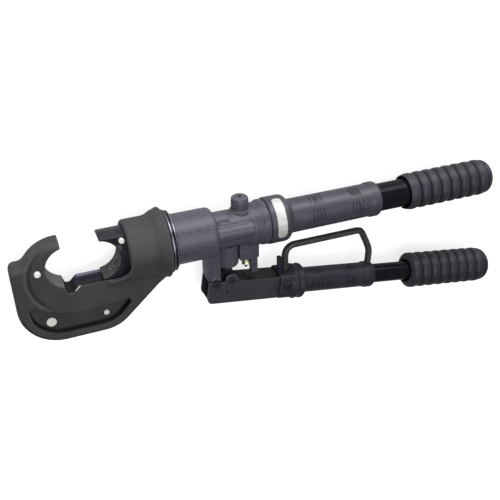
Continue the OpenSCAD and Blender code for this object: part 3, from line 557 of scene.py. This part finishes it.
# The release valve is turned from brass and slides in the body's block, over the lever's striker screw. The wear
# band round the ram's piston is brass too.
brass = Finish("valve_brass", metallic=1.0)
dress(brass.lay(brass.mix(brass.specks(300), (0.75, 0.67, 0.4, 1), (0.9, 0.84, 0.58, 1)), 0.3),
      lift_off("release_valve"), "wear_band")

# The seals are moulded from black rubber and sit in their grooves, and the valve's tip is pressed on. The oil
# bladder is a bag of the same rubber, clamped over the tube nut.
seal = Finish("seal_rubber", specular=0.3)
dress(seal.lay(seal.mix(seal.specks(400), (0.012, 0.012, 0.012, 1), (0.024, 0.024, 0.025, 1)), 0.55), "piston_seal",
      "plunger_seal", "oil_bladder", "valve_tip")


# The reservoir's collar and the upper sleeve are moulded from dark glass-filled plastic. Shade is painted dark in
# the sleeve's short grooves, and fine rings are turned into its rear rim.
def plastic(name, low, high, groove_r, along, from_middle, rim_end, specular=0.5):
    grooves_from, grooves_to, rim_from, line_pitch = rim_end - 0.1, rim_end - 0.014, rim_end - 0.0135, 0.0034
    finish = Finish(name, specular=specular)
    grain = finish.specks(1300)
    colour = finish.mix(finish.specks(50).spread(), low, high)
    colour = finish.mix(finish.kept("edge").eased(0.3, 1.2) * 0.5, colour, (0.12, 0.12, 0.14, 1))
    way, out = along(finish), from_middle(finish)
    grooves = out.eased(groove_r - 0.0001, groove_r - 0.0003) * (way < grooves_to) * (way > grooves_from)
    rim_lines = (way * (2 * math.pi / line_pitch)).wave().eased(0.8, 1.0) * (way > rim_from) * (way < rim_end)
    finish.ridges(grain * 0.2 - rim_lines, 0.0004, 0.5)
    # Painted shade in the grooves; the turned rim rings are darkened a little.
    colour = finish.mix(grooves.highest(rim_lines * 0.35) * 0.85, colour, (0.003, 0.003, 0.004, 1))
    finish.lay(colour, grain.spread(0.36, 0.48))
    return finish.material


upper_plastic = plastic("upper_plastic", (0.026, 0.0255, 0.038, 1), (0.035, 0.034, 0.049, 1), 0.0202,
                        lambda f: f.x, lambda f: away(f.y, f.z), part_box("upper_sleeve")[1][0])
dress(upper_plastic, lift_off("reservoir_collar", 0.0005, 2), lift_off("upper_sleeve", sharp=20))

# The lever's collar and sleeve are moulded from the same plastic, painted nearly black here as shade under the upper
# body. Their axis lies 11.4 mm under the pivot, and the collar is held on the channel by two screws.
middle_across, sleeve_end = -0.0114, 0.215


def along_lever(finish):
    return (finish.x - pivot[0]) * math.cos(lever_angle) - (finish.y - pivot[1]) * math.sin(lever_angle)


shaded_lower_plastic = plastic("shaded_lower_plastic", (0.014, 0.0135, 0.02, 1), (0.021, 0.0205, 0.029, 1), 0.0156, along_lever,
                        lambda f: away(across_lever(f) - middle_across, f.z), sleeve_end, specular=0.2)
dress(shaded_lower_plastic, lift_off("lower_sleeve", sharp=20), lift_off("lever_collar", 0.0005, 2))

# A bare strip of silver foil with round ends is stuck round the reservoir's collar. It is cut from a wide thin
# cylinder, whose columns of points are drawn together towards both ends.
foil_lowest, foil_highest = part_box("label_strip")
foil_middle = (foil_lowest[0] + foil_highest[0]) / 2
foil_half = (foil_highest[0] - foil_lowest[0]) / 2
foil_r, foil_thick = 0.02785, 0.0002
foil_from, foil_to = math.radians(-26), math.radians(85)
foil_turn = foil_half / foil_r
narrowest = 0.02
bpy.ops.object.select_all(action="DESELECT")
bpy.ops.mesh.primitive_cylinder_add(vertices=360, radius=foil_r, depth=2 * foil_half, end_fill_type="NOTHING",
                                    location=(foil_middle, 0, 0), rotation=(0, math.pi / 2, 0))
foil_strip = bpy.context.object
foil_strip.name = "foil_strip"
bpy.ops.object.transform_apply(location=True, rotation=True, scale=False)
bpy.ops.object.mode_set(mode="EDIT")
strip = bmesh.from_edit_mesh(foil_strip.data)


def turn_on_collar(point):
    return math.atan2(point.co.y, point.co.z)


for point in strip.verts:
    point.select = not foil_from < turn_on_collar(point) < foil_to
strip.select_flush_mode()
bmesh.update_edit_mesh(foil_strip.data)
bpy.ops.mesh.delete(type="VERT")
strip = bmesh.from_edit_mesh(foil_strip.data)
columns = sorted({round(turn_on_collar(point), 5) for point in strip.verts})
for column in columns:
    inside = min(column - columns[0], columns[-1] - column)
    if inside < foil_turn:
        left = 1 - inside / foil_turn
        for point in strip.verts:
            point.select = abs(turn_on_collar(point) - column) < 0.0001
        strip.select_flush_mode()
        bmesh.update_edit_mesh(foil_strip.data)
        bpy.ops.transform.resize(value=(max(math.sqrt(1 - left * left), narrowest), 1, 1),
                                 center_override=(foil_middle, 0, 0))
bpy.ops.object.mode_set(mode="OBJECT")
thicken = foil_strip.modifiers.new("thickness", "SOLIDIFY")
thicken.thickness = foil_thick
thicken.offset = 0
bpy.ops.object.modifier_apply(modifier="thickness")
bpy.ops.object.mode_set(mode="EDIT")
bpy.ops.mesh.select_all(action="SELECT")
bpy.ops.mesh.normals_make_consistent(inside=False)
bpy.ops.object.mode_set(mode="OBJECT")
bpy.ops.object.shade_smooth_by_angle(angle=math.radians(40))
foil = Finish("silver_foil", metallic=0.25, specular=0.4)
foil_lines = foil.specks(400, 3, foil.drawn_out(0.15, 1, 1))
foil_colour = foil.mix(foil_lines.spread(), (0.42, 0.42, 0.41, 1), (0.53, 0.53, 0.52, 1))
dress(foil.lay(foil_colour, foil_lines.spread(0.34, 0.46)), foil_strip)
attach(foil_strip, "body")
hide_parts("label_strip")

# Both tubes are drawn steel, enamelled in gloss black, with faint rubbed rings where the hand slides. The end cap
# and the plug that close them have the same enamel.
enamel = Finish("tube_enamel", specular=0.08)
rings_worn = enamel.specks(500, 3, enamel.drawn_out(1, 0.1, 0.1))
enamel_colour = enamel.mix(rings_worn.eased(0.45, 0.7), (0.005, 0.005, 0.008, 1), (0.007, 0.007, 0.01, 1))
dress(enamel.lay(enamel_colour, rings_worn.spread(0.1, 0.14)),
      lift_off("reservoir_tube"), "tube_end_cap", lift_off("lower_tube"), "tube_plug")

# The grips are moulded from rubber: eight round bands with narrow grooves between them, a front lip with a hollow
# round the tube, and a domed end. Each is one ring of points, drawn out along its axis from station to station.
grip_skin = Finish("grip_rubber", specular=0.35)
pores = grip_skin.specks(1100, 4)
grip_skin.ridges(pores, 0.0001, 0.6)
grip_colour = grip_skin.mix(grip_skin.specks(40).spread(), (0.0165, 0.016, 0.0245, 1), (0.024, 0.023, 0.034, 1))
# The lower grip is painted darker, as shade under the upper body.
grip_colour = grip_skin.mix(grip_skin.y.eased(-0.07, -0.05), (0.014, 0.0135, 0.021, 1), grip_colour)
# Shade is painted dark in the grooves between the bands, on the bands' flanks and in the hollow round the tube.
valley_shade = grip_skin.kept("edge").eased(0.0, 1.0)
grip_skin.lay(grip_skin.mix(valley_shade, grip_colour, (0.003, 0.003, 0.004, 1)), pores.spread(0.42, 0.55))


def mould_grip(name, node, body, foot, turned_by, length, radius, bore):
    """Each station is its place along the grip, its radius and how much shade is painted there."""
    lip, hollow, hollow_r, dome, dome_step = 0.0015, 0.007, bore + 0.0024, 0.0085, 0.0011
    front, bands, band_steps, swell, groove = 0.001, 8, 14, 0.0021, 0.001
    pitch = (length - dome - front) / bands
    stations = [(length - hollow, bore, 0), (hollow, bore, 1), (hollow, bore + 0.0016, 1),
                (hollow - 0.0008, hollow_r, 1)]
    stations += [(lip - lip * math.sin(a), hollow_r + lip - lip * math.cos(a), 0)
                 for a in (math.radians(18 * k) for k in range(6))]
    for band in range(bands):
        for step in range(4 if band == 0 else 0, band_steps + 1):
            off_crest = abs(2 * step / band_steps - 1)
            stations.append((front + pitch * (band + 0.04 + 0.92 * step / band_steps),
                             radius - swell * off_crest ** 2.4, 0.0 if off_crest < 0.7 else 0.6))
        if band < bands - 1:
            stations.append((front + pitch * (band + 1), radius - swell - groove, 1))
    stations += [(length - dome + dome * math.sin(a), radius - dome_step - dome * (1 - math.cos(a)), 0)
                 for a in (math.radians(9 * k) for k in range(1, 11))]
    grip = draw_out(name, [(place, out) for place, out, dark in stations], 112)
    shade = []
    for point in grip.data.vertices:
        out = math.hypot(point.co.x, point.co.y)
        shade.append(float(min(stations, key=lambda s: abs(s[0] - point.co.z) + abs(s[1] - out))[2]))
    grip.data.attributes.new("edge", "FLOAT", "POINT").data.foreach_set("value", shade)
    bpy.ops.object.shade_smooth_by_angle(angle=math.radians(70))
    grip.rotation_euler = (0, math.pi / 2, 0)
    bpy.ops.object.transform_apply(location=False, rotation=True, scale=False)
    grip.rotation_euler = (0, 0, turned_by)
    grip.location = foot
    bpy.ops.object.transform_apply(location=True, rotation=True, scale=False)
    dress(grip_skin.material, grip)
    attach(grip, body)
    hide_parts(node)


upper_lowest, upper_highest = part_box("upper_grip")
mould_grip("upper_grip_skin", "upper_grip", "body", (upper_lowest[0], 0, 0), 0.0, upper_highest[0] - upper_lowest[0],
           (upper_highest[2] - upper_lowest[2]) / 2, bore=0.0172)
low_lowest, low_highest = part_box("lower_grip")
low_from_pivot, low_length = 0.270, 0.126
low_foot = (pivot[0] + low_from_pivot * math.cos(lever_angle) + middle_across * math.sin(lever_angle),
            pivot[1] - low_from_pivot * math.sin(lever_angle) + middle_across * math.cos(lever_angle), 0)
mould_grip("lower_grip_skin", "lower_grip", "lever", low_foot, -lever_angle, low_length,
           (low_highest[2] - low_lowest[2]) / 2, bore=0.0122)
